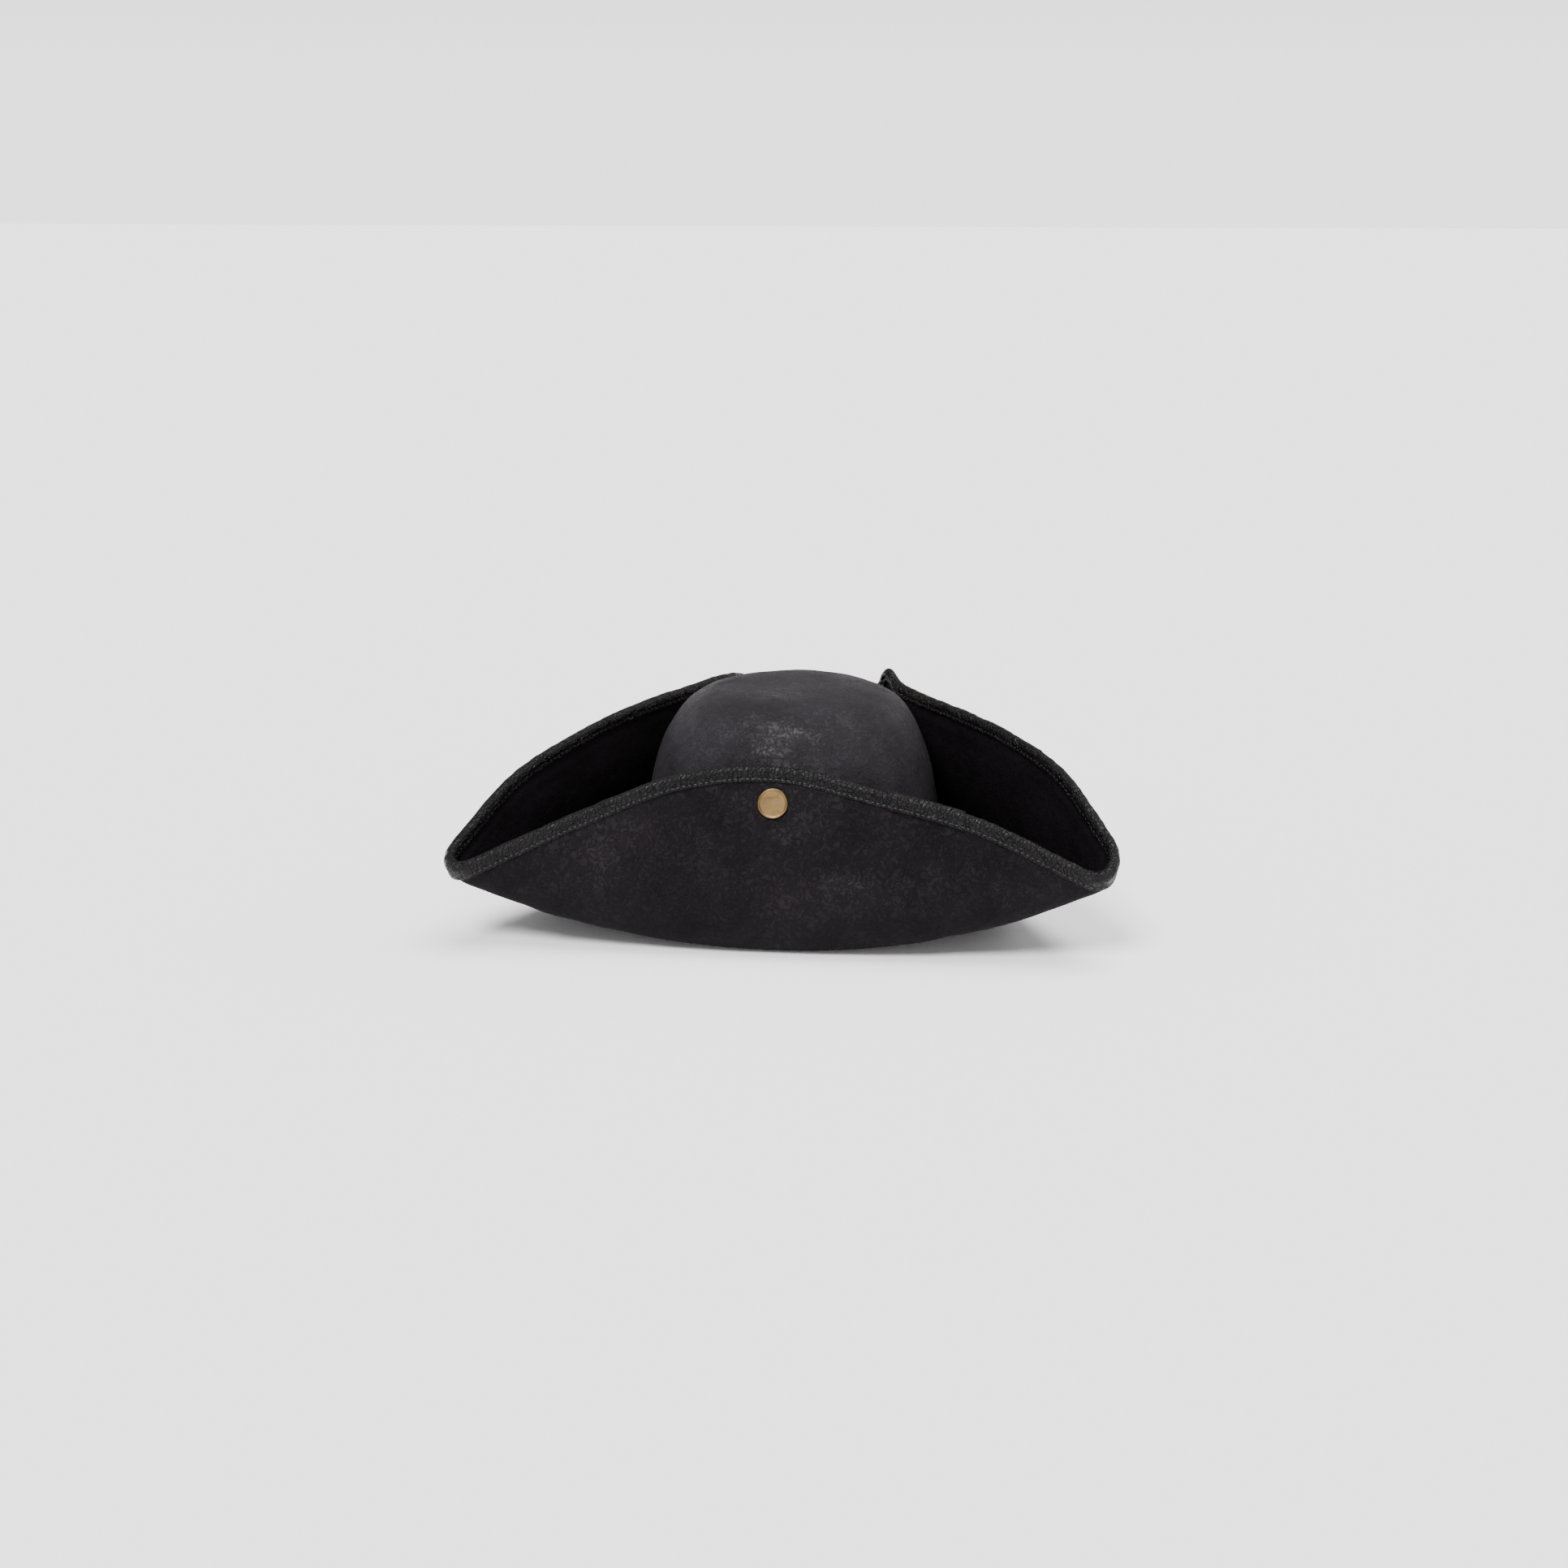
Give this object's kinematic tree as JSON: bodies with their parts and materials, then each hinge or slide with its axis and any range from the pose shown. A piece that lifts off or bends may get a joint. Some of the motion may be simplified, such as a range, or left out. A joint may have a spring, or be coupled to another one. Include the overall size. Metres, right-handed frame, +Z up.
{
  "type": "pirate hat",
  "caption": "Three-cornered brimmed hat with a domed crown and wire-edged sides that unsnap from the crown and fold down.",
  "frame": {"origin": "middle of the oval head opening, in the plane of the flat ring that the hat rests on", "axes": "+Z up through the crown, -Y to the front of the hat, +X to the right when seen from the front"},
  "size_m": [0.3737, 0.3479, 0.128],
  "materials": {
    "crown_suede": "matte brushed faux suede",
    "brim_suede": "matte brushed faux suede",
    "binding_leather": "semi-gloss grained binding",
    "lining_satin": "satin weave",
    "sweatband_leather": "smooth matte band",
    "thread": "twisted sewing thread",
    "snap_brass": "satin antique brass",
    "spring_wire": "drawn spring wire"
  },
  "bodies": {
    "crown": {"crown_shell": "crown_suede", "crown_lining": "lining_satin", "sweatband": "sweatband_leather", "brim_base": "brim_suede", "right_corner_binding": "binding_leather", "back_corner_binding": "binding_leather", "left_corner_binding": "binding_leather", "corner_wires": "spring_wire", "front_snap_stud": "snap_brass", "right_snap_stud": "snap_brass", "left_snap_stud": "snap_brass", "front_snap_eyelet": "snap_brass", "right_snap_eyelet": "snap_brass", "left_snap_eyelet": "snap_brass"},
    "front_side": {"front_flap": "brim_suede", "front_binding": "binding_leather", "binding_lap": "binding_leather", "front_wire": "spring_wire", "front_snap_cap": "snap_brass", "front_snap_socket": "snap_brass"},
    "right_side": {"right_flap": "brim_suede", "right_binding": "binding_leather", "right_wire": "spring_wire", "right_snap_cap": "snap_brass", "right_snap_socket": "snap_brass"},
    "left_side": {"left_flap": "brim_suede", "left_binding": "binding_leather", "left_wire": "spring_wire", "left_snap_cap": "snap_brass", "left_snap_socket": "snap_brass"}
  },
  "joints": [
    {"name": "front_fold", "type": "hinge", "parent": "crown", "child": "front_side", "pos_m": [0.003, -0.1232, 0.0429], "axis": [0.9999, 0, 0.0133], "range_deg": [0, 70]},
    {"name": "right_fold", "type": "hinge", "parent": "crown", "child": "right_side", "pos_m": [0.09743, 0.05356, 0.0429], "axis": [-0.4822, 0.876, -0.0126], "range_deg": [0, 70]},
    {"name": "left_fold", "type": "hinge", "parent": "crown", "child": "left_side", "pos_m": [-0.09444, 0.05354, 0.0404], "axis": [-0.4705, -0.8824, 0], "range_deg": [0, 70]}
  ]
}
